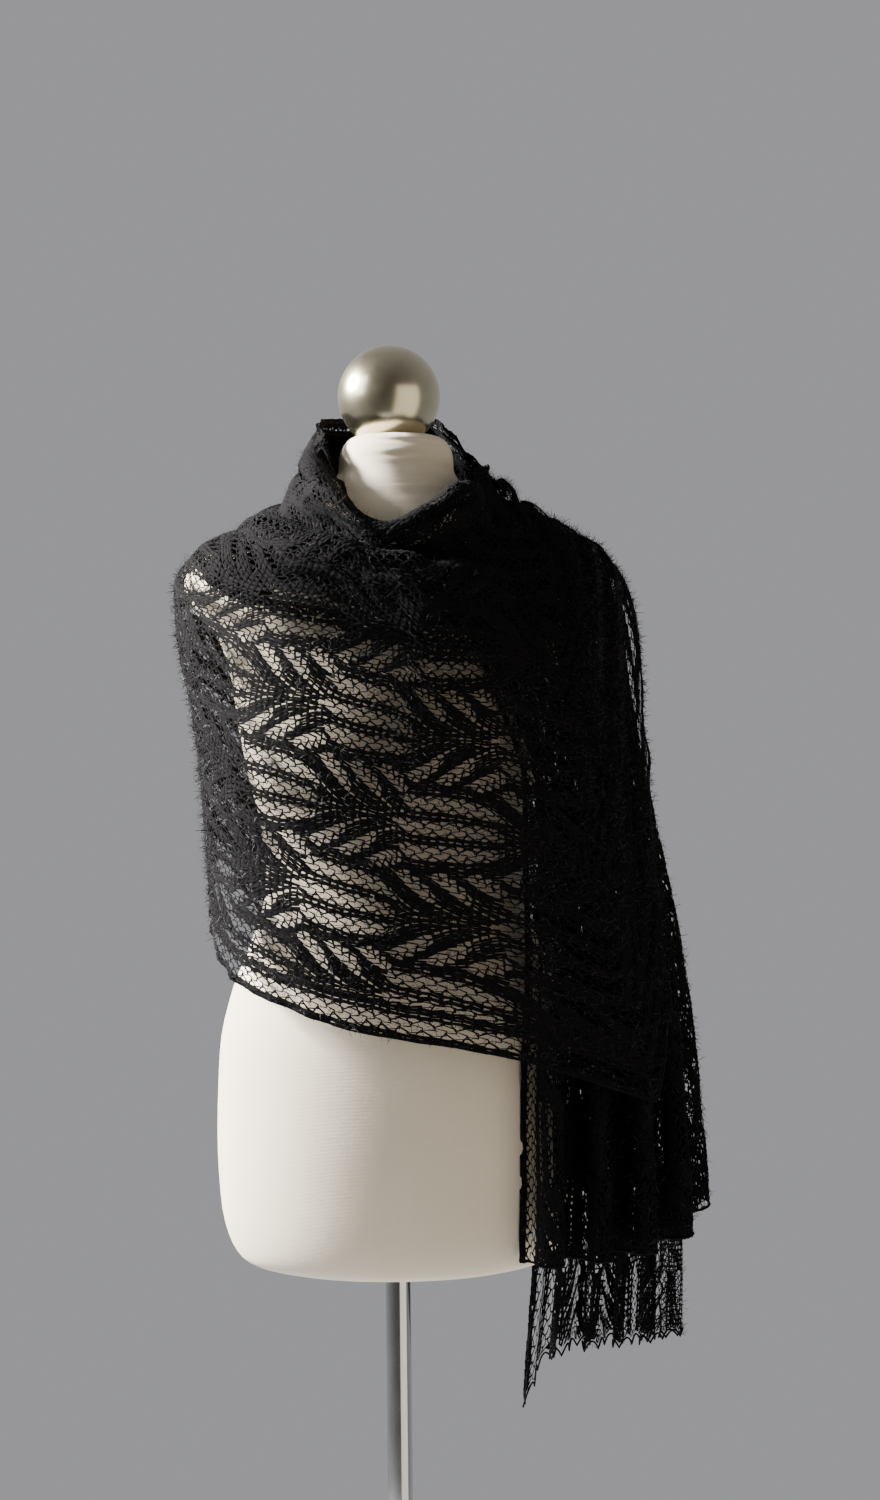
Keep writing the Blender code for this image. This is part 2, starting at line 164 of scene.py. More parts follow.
# Sections across the stole, in order along its length: bearing of the upper edge, of a point
# MID_SHARE of the way down and of the lower edge, how soon the section turns between them,
# height (mm) of the upper and lower edge, stand-off (mm) of each edge, how fully the pleats
# and the rolls of the cowl are folded, how far the folds lie inwards, and how far (mm) the
# corner of the upper edge hangs below the section's line and that of the lower edge above it.
SECTIONS = (
    ("near hem", 44, 66.5, 93, 1.0, 738, 742, 0, 0, 0.93, 0.0, 1.0, 0, 48),
    ("near skirt", 45.5, 67, 93, 1.0, 900, 905, 0, 0, 0.90, 0.0, 1.0, 0, 20),
    ("near hip", 47, 67.5, 92.5, 1.0, 1040, 1050, 0, 0, 0.90, 0.0, 1.0, 0, 0),
    ("near waist", 47, 67, 92, 1.0, 1160, 1160, 0, 0, 0.86, 0.0, 1.0, 0, 0),
    ("near bust", 40, 63, 91, 1.0, 1240, 1240, 0, 0, 0.74, 0.0, 1.0, 0, 0),
    ("near chest", 32, 58, 90, 1.0, 1320, 1312, 0, 0, 0.50, 0.0, 0.8, 0, 0),
    ("near shoulder", 38, 61, 89, 1.0, 1393, 1350, 0, 0, 0.26, 0.0, 0.3, 0, 0),
    ("near crest", 72, 82, 95, 1.0, 1444, 1374, 0, 0, 0.20, 0.0, 0.0, 0, 0),
    ("blade top", 108, 106, 102, 1.0, 1458, 1345, 0, 0, 0.20, 0.0, 0.0, 0, 0),
    ("blade", 127, 122, 114, 1.0, 1484, 1270, 0, 0, 0.26, 0.0, 0.0, 0, 0),
    ("back right", 152, 145, 138, 1.0, 1506, 1130, 0, 0, 0.35, 0.2, 0.0, 0, 0),
    ("back", 180, 174, 168, 1.0, 1510, 1035, 0, 0, 0.35, 0.3, 0.0, 0, 0),
    ("back left", 208, 204, 199, 1.0, 1510, 1000, 0, 2, 0.35, 0.3, 0.0, 0, 0),
    ("left blade", 236, 233, 229, 1.0, 1508, 1030, 0, 4, 0.25, 0.3, 0.0, 0, 0),
    ("left back", 256, 254, 250, 1.0, 1504, 1096, 0, 9, 0.0, 0.2, 0.0, 0, 0),
    ("left side", 272, 271, 264, 0.6, 1498, 1072, 0, 3, 0.0, 0.2, 0.0, 0, 0),
    ("left front", 296, 296, 283, 0.5, 1478, 1028, 0, 0, 0.0, 0.4, 0.0, 0, 0),
    ("left breast", 322, 317, 303, 0.45, 1440, 992, 0, 0, 0.0, 0.7, 0.0, 0, 0),
    ("front left", 345, 336, 322, 0.45, 1409, 973, 0, 0, 0.0, 0.9, 0.0, 0, 0),
    ("front", 368, 354, 341, 0.45, 1399, 956, 3, 0, 0.0, 0.9, 0.0, 0, 0),
    ("front right", 390, 371, 360, 0.5, 1415, 946, 9, 2, 0.0, 0.7, 0.0, 0, 0),
    ("right breast", 407, 384, 380, 0.5, 1434, 938, 11, 6, 0.0, 0.6, 0.0, 0, 0),
    ("over the end", 421, 398, 401, 0.5, 1446, 925, 11, 11, 0.0, 0.5, 0.0, 0, 0),
    ("right flank", 433, 408, 418, 0.52, 1452, 903, 11, 11, 0.0, 0.5, 0.0, 0, 0),
    ("corner", 444, 416, 431, 0.55, 1456, 880, 11, 11, 0.0, 0.4, 0.0, 0, 0),
    ("turned edge", 452, 420, 434, 0.58, 1459, 955, 11, 12, 0.08, 0.25, 0.0, 0, 0),
    ("edge at waist", 459, 424, 435, 0.6, 1460, 1060, 11, 12, 0.18, 0.1, 0.0, 0, 0),
    ("edge at bust", 466, 430, 438, 0.65, 1459, 1190, 12, 12, 0.24, 0.0, 0.0, 0, 0),
    ("edge at chest", 474, 441, 446, 0.8, 1455, 1300, 13, 13, 0.26, 0.0, 0.0, 0, 0),
    ("far crest", 482, 461, 456, 1.0, 1444, 1362, 14, 14, 0.27, 0.0, 0.0, 0, 0),
    ("far shoulder", 490, 476, 463, 1.0, 1412, 1330, 17, 17, 0.32, 0.0, 0.0, 0, 0),
    ("far blade", 495, 481, 467, 1.0, 1345, 1262, 21, 17, 0.48, 0.0, 0.0, 0, 0),
    ("far rib", 496, 482, 467, 1.0, 1240, 1160, 22, 12, 0.66, 0.0, 0.0, 0, 0),
    ("far waist", 495, 480, 464, 1.0, 1100, 1035, 18, 6, 0.82, 0.0, 0.35, 0, 0),
    ("far hip", 494, 478, 461, 1.0, 940, 895, 4, 2, 0.90, 0.0, 1.0, 0, 0),
    ("far skirt", 493, 477, 459, 1.0, 770, 752, 2, 0, 0.92, 0.0, 1.0, 8, 0),
    ("far hem", 497, 478, 459, 1.0, 606, 634, 0, 0, 0.94, 0.0, 1.0, 48, 8),
)
LAST = len(SECTIONS) - 1

# Stretches of the stole: CAD node, first and last section, what it lies on, how fuzzy it shows
STRETCHES = (
    ("shawl_near_end", "near hem", "near shoulder", "dress_form", 0.25, 1.28),
    ("shawl_near_shoulder", "near shoulder", "blade", "dress_form", 0.15, 1.0),
    ("shawl_back_panel", "blade", "left back", "dress_form", 0.25, 1.0),
    ("shawl_left_shoulder", "left back", "left breast", "dress_form", 0.35, 0.88),
    ("shawl_front_wrap", "left breast", "corner", "dress_form", 1.0, 1.0),
    ("shawl_far_shoulder", "corner", "far blade", "shawl_near_shoulder", 0.75, 0.86),
    ("shawl_far_end", "far blade", "far hem", "shawl_near_shoulder", 0.15, 0.88),
)

# The stretches that face the eye, whose yarn has a ridge
RIDGED = ("lace_front_wrap", "lace_left_shoulder", "lace_near_shoulder")

# The stretches that hang free, whose outer side is one open layer
HANGING = ("lace_near_end", "lace_far_end")

# The lace as a knitter writes it. Odd rows are read from the right and even rows, worked on
# the wrong side, from the left. Each line is worked in turn and each part three times over.
LEAF_PART = (
    "k3 k2tog k4 yo p2 LEAVES p2 yo k4 ssk k3",
    "p2 ssk p4 yo p1 k2 LEAVES k2 p1 yo p4 k2tog p2",
    "k1 k2tog k4 yo k2 p2 LEAVES p2 k2 yo k4 ssk k1",
    "ssk p4 yo p3 k2 LEAVES k2 p3 yo p4 k2tog",
)
FAN_PART = (
    "yo ssk k2 yo ssk p2 yo k4 ssk k6 k2tog k4 yo p2 k2 yo ssk k2",
    "yo k2tog p2 yo k2tog k2 p1 yo p4 k2tog p4 ssk p4 yo p1 k2 p2 yo k2tog p2",
    "yo ssk k2 yo ssk p2 k2 yo k4 ssk k2 k2tog k4 yo k2 p2 k2 yo ssk k2",
    "yo k2tog p2 yo k2tog k2 p3 yo p4 k2tog ssk p4 yo p3 k2 p2 yo k2tog p2",
)
LEAVES = ("k2 yo ssk k2 yo ssk k2 yo ssk", "p2 yo k2tog p2 yo k2tog p2 yo k2tog")
BORDER = (("k1 k2 yo ssk p2", "p2 k2 yo ssk k1"), ("p1 p2 yo k2tog k2", "k2 p2 yo k2tog p1"))
TAKES = {"yo": 0, "ssk": 2, "k2tog": 2}

# How wide a gap between neighbouring stitches wants to be, in stitches
GAP_YARN_OVER = 1.44
GAP_JOINED = 0.30
GAP_PURL = 0.50
GAP_LEANING = 0.70
GAP_PLAIN = 0.60


def smooth_between(known, values, wanted):
    """Curve through the values that never swings past them (monotone cubic)."""
    steps = np.diff(known)
    slopes = np.diff(values) / steps
    before, after = slopes[:-1], slopes[1:]
    weight_a = 2 * steps[1:] + steps[:-1]
    weight_b = steps[1:] + 2 * steps[:-1]
    same_way = before * after > 0
    safe_before = np.where(same_way, before, 1.0)
    safe_after = np.where(same_way, after, 1.0)
    inner = (weight_a + weight_b) / (weight_a / safe_before + weight_b / safe_after)
    tangents = np.concatenate(([slopes[0]], np.where(same_way, inner, 0.0), [slopes[-1]]))
    wanted = np.clip(wanted, known[0], known[-1])
    cell = np.clip(np.searchsorted(known, wanted, side="right") - 1, 0, len(steps) - 1)
    f = (wanted - known[cell]) / steps[cell]
    return (values[cell] * (1 + 2 * f) * (1 - f) ** 2
            + tangents[cell] * steps[cell] * f * (1 - f) ** 2
            + values[cell + 1] * f * f * (3 - 2 * f)
            + tangents[cell + 1] * steps[cell] * f * f * (f - 1))


def column(table, number):
    return np.array([row[number] for row in table], dtype=float)


def unit(vectors):
    return vectors / np.maximum(np.linalg.norm(vectors, axis=-1, keepdims=True), 1e-9)


CAPE_HEIGHTS = column(CAPE_LEVELS, 1) / 1000


def cape_point(bearing, height):
    """Point of the space the cloth hangs in, at a bearing in degrees and a height."""
    left, right, front, back = (smooth_between(CAPE_HEIGHTS, column(CAPE_LEVELS, k) / 1000, height)
                                for k in (2, 3, 4, 5))
    power = smooth_between(CAPE_HEIGHTS, column(CAPE_LEVELS, 6), height)
    sine, cosine = np.sin(np.radians(bearing)), np.cos(np.radians(bearing))
    across = np.where(sine >= 0, right, left)
    along = np.where(cosine >= 0, front, back)
    radius = ((np.abs(sine) / across) ** power + (np.abs(cosine) / along) ** power) ** (-1 / power)
    return np.stack([radius * sine, -radius * cosine, height], axis=-1)


def cape_normal(bearing, height):
    turn = cape_point(bearing + 0.5, height) - cape_point(bearing - 0.5, height)
    climb = cape_point(bearing, height + 0.002) - cape_point(bearing, height - 0.002)
    return unit(np.cross(turn, climb))


def meander(share, pleat_part, roll_part):
    """Folds that take up the cloth's spare width: place along the base, and depth."""
    t = np.linspace(0.0, 1.0, 361)
    fade = np.clip((ROLL_REACH - t) / (0.4 * ROLL_REACH), 0.0, 1.0)
    total = max(pleat_part + roll_part, 1e-6)
    swing = (pleat_part * np.sin(2 * math.pi * PLEATS * t)
             + roll_part * fade * np.sin(2 * math.pi * ROLLS * t)) / total
    low, high = 0.0, 1.9
    for _ in range(24):
        guess = 0.5 * (low + high)
        if np.mean(np.cos(guess * swing)) > share:
            low = guess
        else:
            high = guess
    angle = low * min(total, 1.0) * swing
    step = t[1] - t[0]
    place = np.concatenate(([0.0], np.cumsum(0.5 * (np.cos(angle[1:]) + np.cos(angle[:-1])) * step)))
    depth = np.concatenate(([0.0], np.cumsum(0.5 * (np.sin(angle[1:]) + np.sin(angle[:-1])) * step)))
    return t, place / place[-1], depth / place[-1]


def section_points(u, rows):
    """Points across the stole at place u of the table of sections."""
    known = np.arange(len(SECTIONS), dtype=float)
    (bear_top, bear_mid, bear_low, soon, z_top, z_low, off_top, off_low, pleat, roll, inward, tip,
     lift) = (float(smooth_between(known, column(SECTIONS, k), np.array([u]))[0])
              for k in range(1, 14))
    v = np.linspace(0.0, 1.0, 241)
    w, middle = v ** soon, MID_SHARE ** soon
    bearing = (bear_top * (w - middle) * (w - 1) / middle
               + bear_mid * w * (1 - w) / (middle * (1 - middle))
               + bear_low * w * (w - middle) / (1 - middle))
    height = (z_top + (z_low - z_top) * v) / 1000
    base = cape_point(bearing, height)
    run = np.concatenate(([0.0], np.cumsum(np.linalg.norm(np.diff(base, axis=0), axis=1))))
    share = min(run[-1] / STOLE_WIDTH, 1.0)
    t, place, depth = meander(share, pleat, roll)
    depth = depth * run[-1]
    depth = depth - depth.min() - inward * (depth.max() - depth.min())
    along = np.interp(rows, t, place) * run[-1]
    bearing_at = np.interp(along, run, bearing)
    height_at = np.interp(along, run, height)
    stand_off = (off_top + (off_low - off_top) * rows) / 1000 + np.interp(rows, t, depth)
    points = cape_point(bearing_at, height_at) + cape_normal(bearing_at, height_at) * stand_off[:, None]
    points[:, 2] += (lift * rows ** LIFT_REACH - tip * (1 - rows) ** TIP_REACH) / 1000
    return points


class Cloth:
    """The draped stole as a fine grid, read at any place s along it and share t across it."""
    STEPS = 10
    ACROSS = 361
    RAIL = 144

    def __init__(self):
        self.places = np.linspace(0.0, LAST, LAST * self.STEPS + 1)
        self.shares = np.linspace(0.0, 1.0, self.ACROSS)
        self.points = np.array([section_points(u, self.shares) for u in self.places])
        across = np.gradient(self.points, axis=1)
        along = np.gradient(self.points, axis=0)
        self.outward = unit(np.cross(across, along))
        middle = self.points[:, self.RAIL]
        steps = np.linalg.norm(np.diff(middle, axis=0), axis=1)
        self.run = np.concatenate(([0.0], np.cumsum(steps)))
        self.length = self.run[-1]

    def at(self, s, t):
        """Points and outward directions there."""
        line = np.interp(s, self.run, np.arange(len(self.run), dtype=float))
        spot = np.clip(t, 0.0, 1.0) * (self.ACROSS - 1)
        i = np.minimum(line.astype(int), len(self.run) - 2)
        j = np.minimum(spot.astype(int), self.ACROSS - 2)
        f, g = (line - i)[:, None], (spot - j)[:, None]
        found = []
        for grid in (self.points, self.outward):
            found.append((grid[i, j] * (1 - g) + grid[i, j + 1] * g) * (1 - f)
                         + (grid[i + 1, j] * (1 - g) + grid[i + 1, j + 1] * g) * f)
        return found[0], unit(found[1])

    def place_of(self, section):
        number = [row[0] for row in SECTIONS].index(section)
        return self.run[number * self.STEPS]


def worked_row(line, number):
    """Stitches of one written row, from left to right on the right side."""
    wrong = number % 2 == 1
    start, end = BORDER[1 if wrong else 0]
    words = f"{start} " + f"{line} " * REPEATS_ACROSS + end
    stitches = []
    for word in words.replace("LEAVES", LEAVES[1 if wrong else 0]).split():
        if word in TAKES:
            stitches.append(word)
            continue
        plain = (word[0] == "k") != wrong
        stitches += ["k" if plain else "p"] * int(word[1:])
    return stitches if wrong else stitches[::-1]


def knitted_rows():
    lines = [line for part in (LEAF_PART, FAN_PART) for _ in range(3) for line in part]
    return [worked_row(line, number) for number, line in enumerate(lines)]


def parents_of(rows):
    """For each stitch, the stitches of the row before that it is worked into."""
    parents = []
    for stitches in rows:
        used, line = 0, []
        for stitch in stitches:
            takes = TAKES.get(stitch, 1)
            line.append(tuple(range(used, used + takes)))
            used += takes
        parents.append(line)
    return parents


def wanted_gap(rows, parents, r, i):
    """How far apart stitch i of row r and the next one want to lie, in stitches."""
    above = parents[(r + 1) % len(rows)]
    pair = (rows[r][i], rows[r][i + 1])
    if (i, i + 1) in above:
        return GAP_JOINED
    if "yo" in pair:
        return GAP_YARN_OVER
    if pair == ("p", "p"):
        return GAP_PURL
    if "ssk" in pair or "k2tog" in pair:
        return GAP_LEANING
    return GAP_PLAIN


def settled_stitches(rows, parents, stitch, height):
    """Heads of the stitches of one repeat after the lace is blocked: springs come to rest.

    The rows repeat along the length, and the two edge stitches stay on the edges.
    """
    count, width = len(rows), len(rows[0])
    heads = np.zeros((count, width, 2))
    heads[:, :, 0] = np.linspace(0.0, STOLE_WIDTH, width)
    heads[:, :, 1] = (np.arange(count) * height)[:, None]
    pairs, lengths, rise = [], [], []
    for r in range(count):
        for i in range(width - 1):
            pairs.append((r * width + i, r * width + i + 1))
            lengths.append(stitch * wanted_gap(rows, parents, r, i))
            rise.append(0.0)
        for i in range(width):
            for parent in parents[r][i]:
                pairs.append((((r - 1) % count) * width + parent, r * width + i))
                lengths.append(height * (0.9 if len(parents[r][i]) == 1 else 0.75))
                rise.append(count * height if r == 0 else 0.0)
    pairs, lengths = np.array(pairs), np.array(lengths)
    jump = np.stack([np.zeros(len(rise)), np.array(rise)], axis=1)
    spots = heads.reshape(-1, 2)
    start = spots[:, 1].copy()
    held = np.bincount(pairs.ravel(), minlength=len(spots))[:, None]
    for _ in range(900):
        apart = spots[pairs[:, 1]] + jump - spots[pairs[:, 0]]
        reach = np.linalg.norm(apart, axis=1, keepdims=True) + 1e-9
        pull = apart / reach * (reach - lengths[:, None])
        move = np.stack([np.bincount(pairs[:, 0], pull[:, k], len(spots))
                         - np.bincount(pairs[:, 1], pull[:, k], len(spots)) for k in (0, 1)], axis=1)
        spots = spots + 0.45 * move / held
        spots[:, 1] += 0.01 * (start - spots[:, 1])
        spots[0::width, 0] = 0.0
        spots[width - 1::width, 0] = STOLE_WIDTH
    return spots.reshape(count, width, 2)


def yarn_paths(rows, parents, heads, height):
    """The yarn's path along each row of one repeat: across, along, depth and yarn radius.

    A yarn over is one wide arch. Any other stitch comes up between two feet in the row below.
    """
    count, width = len(rows), len(rows[0])
    paths = []
    for r in range(count):
        below = heads[(r - 1) % count] - np.array([0.0, count * height if r == 0 else 0.0])
        kinds = rows[r]
        gaps = np.abs(np.diff(heads[r][:, 0]))
        path = []
        for i in range(width):
            x, y = heads[r][i]
            room = min(gaps[max(i - 1, 0)], gaps[min(i, width - 2)])
            front = -RELIEF if kinds[i] == "p" else RELIEF
            if kinds[i] == "yo":
                arch = 0.13 * (heads[r][i + 1][0] - heads[r][i - 1][0])
                path.append((x - arch, y - 0.06 * height, 0.0, YARN_OPEN))
                path.append((x + arch, y - 0.06 * height, 0.0, YARN_OPEN))
                continue
            worked = parents[r][i]
            base = np.mean([below[parent] for parent in worked], axis=0)
            old = [rows[(r - 1) % count][parent] for parent in worked]
            beside = kinds[max(i - 1, 0):i + 2]
            yarn = YARN_OPEN if "yo" in old else YARN_RIB if "yo" in beside else YARN_DENSE
            tight = yarn == YARN_OPEN
            foot = 0.0003 if tight else min(0.27 * room, 0.0017)
            top = 0.0004 if tight else min(0.25 * room, 0.0015)
            path.append((base[0] - foot, base[1] - 0.15 * height, -front, yarn))
            path.append((x - top, y + 0.03 * height, front, yarn))
            path.append((x + top, y + 0.03 * height, front, yarn))
            path.append((base[0] + foot, base[1] - 0.15 * height, -front, yarn))
        paths.append(np.array(path))
    return paths


class Strands:
    """Gathers yarn into one mesh: ridged strips for the stitches and closed tubes for the cords."""

    def __init__(self):
        self.points, self.quads, self.triangles, self.count = [], [], [], 0

    def frame(self, line, outward):
        """Side and up directions along a line; the side one is longer at corners."""
        steps = unit(np.diff(line, axis=0))
        before, after = np.concatenate((steps[:1], steps)), np.concatenate((steps, steps[-1:]))
        onward = unit(before + after + 0.02 * after)
        side = unit(np.cross(onward, outward))
        fair = np.clip(np.abs(np.sum(onward * after, axis=1, keepdims=True)), 0.62, 1.0)
        return side / fair, np.cross(unit(side), onward)

    def strip(self, line, outward, radius, ridged=True):
        """A strip of yarn: its two edges and, if it is ridged, the ridge between them."""
        n = len(line)
        side, up = self.frame(line, outward)
        radius = radius[:, None]
        rings = [line - side * radius - up * radius * 0.2, line + side * radius - up * radius * 0.2]
        if ridged:
            rings.insert(1, line + up * radius * 0.3)
        wide = len(rings)
        first = self.count + np.arange(n - 1) * wide
        for k in range(wide - 1):
            self.quads.append(np.stack([first + k, first + k + 1, first + k + wide + 1, first + k + wide], axis=1))
        self.points.append(np.stack(rings, axis=1).reshape(-1, 3))
        self.count += n * wide

    def tube(self, line, outward, radius, sides=5):
        """A closed tube of some sides."""
        n = len(line)
        side, up = self.frame(line, outward)
        angles = math.pi / 2 + 2 * math.pi * np.arange(sides) / sides
        ring = side[:, None] * np.cos(angles)[None, :, None] + up[:, None] * np.sin(angles)[None, :, None]
        around = np.arange(sides)
        a = self.count + (np.arange(n - 1) * sides)[:, None] + around
        b = self.count + (np.arange(n - 1) * sides)[:, None] + (around + 1) % sides
        self.quads.append(np.stack([a, b, b + sides, a + sides], axis=-1).reshape(-1, 4))
        first, last = self.count, self.count + (n - 1) * sides
        for k in range(1, sides - 1):
            self.triangles.append(np.array([[first, first + k + 1, first + k], [last, last + k, last + k + 1]]))
        self.points.append((line[:, None] + ring * radius).reshape(-1, 3))
        self.count += n * sides

    def object(self, name):
        ends = np.concatenate(self.triangles) if self.triangles else ()
        return built(name, np.concatenate(self.points), np.concatenate(self.quads), ends)


def built(name, points, quads, triangles=()):
    """A smooth-shaded mesh object from arrays of points and faces."""
    triangles = np.array(triangles, dtype=np.int32).reshape(-1, 3)
    mesh = bpy.data.meshes.new(name)
    mesh.vertices.add(len(points))
    mesh.vertices.foreach_set("co", np.asarray(points, dtype=np.float32).ravel())
    corners = np.concatenate((np.asarray(quads).ravel(), triangles.ravel())).astype(np.int32)
    mesh.loops.add(len(corners))
    mesh.loops.foreach_set("vertex_index", corners)
    sizes = np.concatenate((np.full(len(quads), 4), np.full(len(triangles), 3)))
    starts = np.concatenate(([0], np.cumsum(sizes)[:-1])).astype(np.int32)
    mesh.polygons.add(len(sizes))
    mesh.polygons.foreach_set("loop_start", starts)
    mesh.update(calc_edges=True)
    mesh.validate()
    mesh.shade_smooth()
    thing = bpy.data.objects.new(name, mesh)
    bpy.context.scene.collection.objects.link(thing)
    return thing


def far_edge(s, t, length):
    """Draws the last rows back between the points of the far hem."""
    near = np.clip((s - (length - POINT_REACH)) / POINT_REACH, 0.0, 1.0)
    return s - POINT_DEPTH * np.abs(np.sin(math.pi * POINTS * t)) * near ** 1.5


def cowl_share(cloth, s, t):
    """How far a place lies in the bunched part round the neck: 0 to 1."""
    along = np.interp(s, [cloth.place_of(name) for name in COWL_ENDS], [0.0, 1.0, 1.0, 0.0])
    return along * np.clip((COWL_REACH - t) / 0.10, 0.0, 1.0)


def bunched(cloth, s, t):
    """The cloth with its rolls, and with the neck edge hanging to a point in front."""
    point, outward = cloth.at(s, t)
    wander = 0.9 * np.sin(s / 0.055 + 0.6) + 0.7 * np.sin(s / 0.023 + 2.0 + 9.0 * t)
    ridge = np.abs(np.sin(math.pi * t / ROLL_PITCH + 0.5 * wander)) ** 0.7 - 0.45
    lift = ROLL_DEPTH * cowl_share(cloth, s, t) * ridge * (1.1 + 0.4 * np.sin(s / 0.034))
    ledge = np.clip((t - 0.26) / 0.08, 0.0, 1.0) * np.clip((0.375 - t) / 0.02, 0.0, 1.0)
    along = np.interp(s, [cloth.place_of(name) for name in ("left side", "left front", "front right", "corner")],
                      [0.0, 1.0, 1.0, 0.0])
    point = point + outward * (lift + LEDGE_DEPTH * ledge * along)[:, None]
    for edge, phase in ((0.0, 0.4), (1.0, 2.1)):
        near = np.exp(-np.abs(t - edge) / 0.022)
        ripple = np.sin(s / 0.0062 + phase) * 0.6 + np.sin(s / 0.0043 + 1.7 * phase) * 0.5
        point = point + outward * (RUFFLE * near * ripple)[:, None]
    middle = 0.5 * (cloth.place_of("front left") + cloth.place_of("front"))
    dip = np.exp(-((s - middle) / 0.034) ** 2) * np.clip(1.0 - t / 0.28, 0.0, 1.0) ** 2
    point[:, 2] -= NECK_DIP * dip
    crest = np.interp(s, [cloth.place_of(name) for name in CREST_ENDS], [0.0, 1.0, 1.0, 0.0])
    point[:, 2] -= CREST_DROP * crest * np.clip(outward[:, 2], 0.0, 1.0)
    collar = np.interp(s, [cloth.place_of(name) for name in COLLAR_ENDS], [0.0, 1.0, 1.0, 0.0])
    point[:, 2] += COLLAR_RISE * collar * np.clip(1.0 - t / 0.16, 0.0, 1.0)
    return point, outward


def knit_stretch(cloth, name, start, end, paths, height, thickness):
    """The yarn and cords of one stretch of the stole, as one mesh."""
    strands = Strands()
    count = len(paths)
    for row in range(REPEATS_ALONG * count):
        level = row * height
        if not start <= level < end:
            continue
        path = paths[row % count]
        s = np.clip(path[:, 1] + (row // count) * count * height, 0.0, cloth.length)
        uneven = np.random.default_rng(row).normal(0.0, UNEVEN, size=(3, len(s)))
        t = np.clip((path[:, 0] + uneven[0]) / STOLE_WIDTH, 0.0, 1.0)
        s = np.clip(s + uneven[1], 0.0, cloth.length)
        point, outward = bunched(cloth, far_edge(s, t, cloth.length), t)
        swell = 1 + COWL_SWELL * cowl_share(cloth, s, t) * (1 + 0.6 * np.clip(1 - t / 0.1, 0.0, 1.0))
        swell *= 1 + 0.12 * np.clip(uneven[2] / UNEVEN, -1.5, 1.5)
        border = np.clip((BORDER_REACH - np.minimum(t, 1 - t)) / 0.02, 0.0, 1.0)
        border *= 1 - cowl_share(cloth, s, t)
        swell *= thickness + (BORDER_YARN - thickness) * border
        if name in HANGING:
            swell *= np.interp(t, (PLEATS_TO, PLEATS_TO + 0.07), (1.0, WING_YARN))
        strands.strip(point + outward * path[:, 2:3], outward, path[:, 3] * swell, ridged=name in RIDGED)
    for share in (0.0, 1.0):
        s = np.arange(start, end + 0.0001, 0.004)
        s[-1] = end
        wave = 0.0007 * np.cos(math.pi * s / height) + 0.0009 * np.sin(s / 0.0051)
        inset = (CORD + 0.0016 + wave) / STOLE_WIDTH
        t = np.full(len(s), share) + (inset if share == 0.0 else -inset)
        point, outward = bunched(cloth, s, t)
        strands.tube(point, outward, CORD)
    for edge in (0.0, cloth.length):
        if start - 0.001 <= edge <= end + 0.001:
            t = np.linspace(0.0, 1.0, 281)
            s = np.full(len(t), edge)
            point, outward = cloth.at(far_edge(s, t, cloth.length), t)
            strands.tube(point, outward, CORD)
    return strands.object(name)


def hidden_layer(cloth, name, start, end, paths, height, share_of, depth):
    """A turn of cloth that lies behind what shows, wherever its share is more than nothing."""
    strands = Strands()
    count = len(paths)
    for row in range(math.ceil(start / height), int(end / height)):
        path = paths[row % count]
        s = path[:, 1] + (row // count) * count * height
        t = path[:, 0] / STOLE_WIDTH
        share = share_of(cloth, s, t)
        kept = share > 0.05
        if np.count_nonzero(kept) < 8:
            continue
        s, share = np.maximum(s[kept] - 0.5 * height, 0.0), share[kept]
        point, outward = bunched(cloth, s, np.clip(t[kept] + TURN_SHIFT, 0.0, 1.0))
        inset = path[kept, 2] - depth * np.sqrt(share)
        strands.strip(point + outward * inset[:, None], outward, path[kept, 3] * 1.15, ridged=False)
    return strands.object(name)


def pleat_share(cloth, s, t):
    """How far a place lies between the borders, where the hanging end is folded on itself: 0 to 1."""
    return np.clip((t - PLEATS_FROM) / 0.02, 0.0, 1.0) * np.clip((PLEATS_TO - t) / 0.02, 0.0, 1.0)


def mohair_halo(cloth, chance, count):
    """Fine loose hairs that stand off the yarn, each a thin bent blade."""
    spots = chance.uniform(size=(count * 5, 2))
    s, t = spots[:, 0] * cloth.length, spots[:, 1]
    weight = np.full(len(s), 0.0)
    for name, first, last, _, fuzz, _ in STRETCHES:
        here = (s >= cloth.place_of(first)) & (s < cloth.place_of(last))
        weight[here] = fuzz
    weight[t < COWL_REACH] *= 0.45
    kept = chance.uniform(size=len(s)) < weight
    s, t = s[kept][:count], t[kept][:count]
    root, outward = bunched(cloth, s, t)
    loose = unit(chance.normal(size=(len(s), 3)))
    lean = unit(outward * 0.45 + loose * 0.9)
    curl = unit(np.cross(lean, chance.normal(size=(len(s), 3))))
    reach = chance.uniform(0.003, 0.0105, size=(len(s), 1))
    middle = root + lean * reach * 0.55 + curl * reach * 0.12
    tip = root + lean * reach * 0.85 + curl * reach * 0.55
    field = np.clip((t - COWL_REACH) / 0.04, 0.0, 1.0)[:, None]
    width = np.cross(lean, curl) * (0.00008 + 0.00015 * field) * chance.uniform(0.7, 1.3, size=(len(s), 1))
    points = np.stack([root - width, root + width, middle + width * 0.8, middle - width * 0.8, tip], axis=1)
    first = np.arange(len(s)) * 5
    quads = np.stack([first, first + 1, first + 2, first + 3], axis=1)
    triangles = np.stack([first + 3, first + 2, first + 4], axis=1)
    return built("mohair_halo", points.reshape(-1, 3), quads, triangles)


